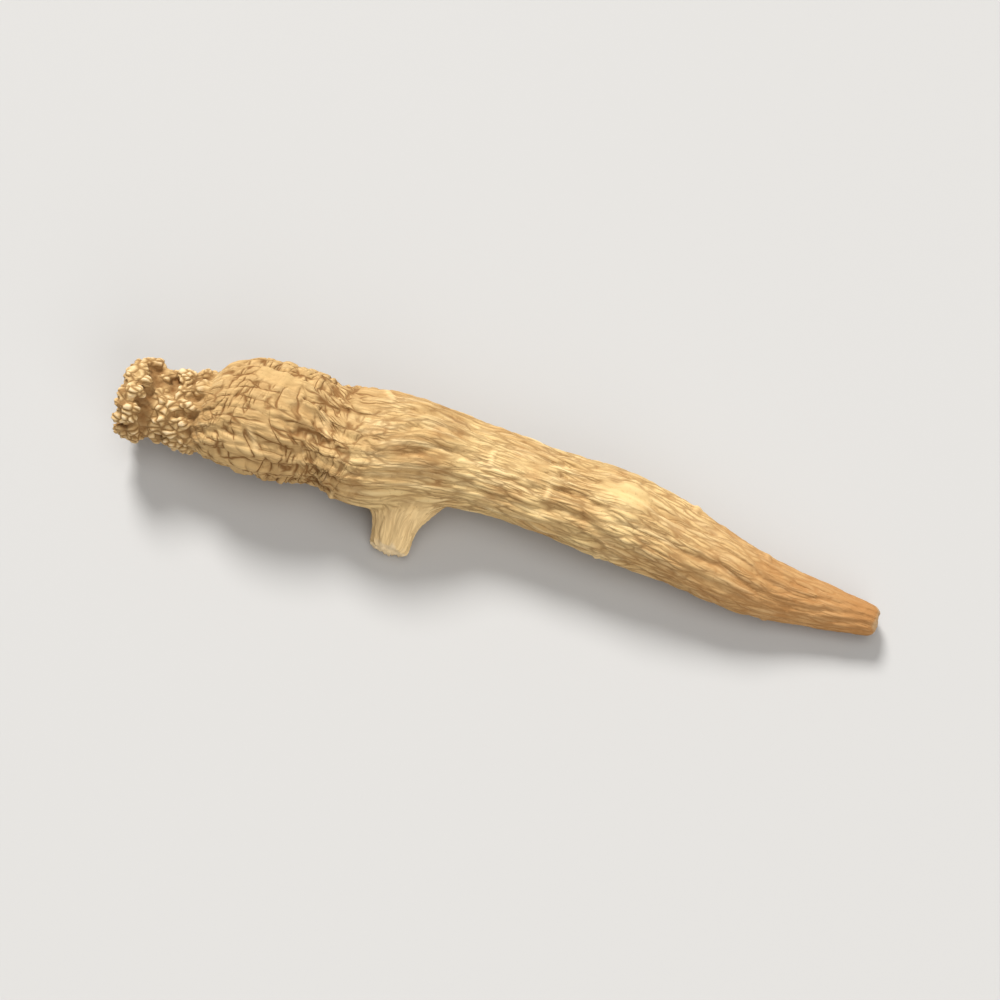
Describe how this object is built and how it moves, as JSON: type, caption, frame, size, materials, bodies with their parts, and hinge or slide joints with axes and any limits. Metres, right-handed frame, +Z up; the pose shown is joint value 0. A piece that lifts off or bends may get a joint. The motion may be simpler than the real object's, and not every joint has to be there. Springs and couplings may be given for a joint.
{
  "type": "ginseng root",
  "caption": "Whole dried ginseng root lying on its side, with a knobbly head, plump ringed shoulder, wrinkled tapering body and a broken side root.",
  "frame": {"origin": "on the surface that the root lies on, below the middle of the root's box", "axes": "+X along the root from its knobbly head to its tail, +Y away from the broken side root, +Z up from the surface it lies on"},
  "size_m": [0.0846, 0.0164, 0.0116],
  "materials": {
    "dried_skin": "matte, dry, wrinkled tan skin with browner creases and paler crests"
  },
  "bodies": {
    "root": {"ginseng_root": "dried_skin"}
  },
  "joints": []
}
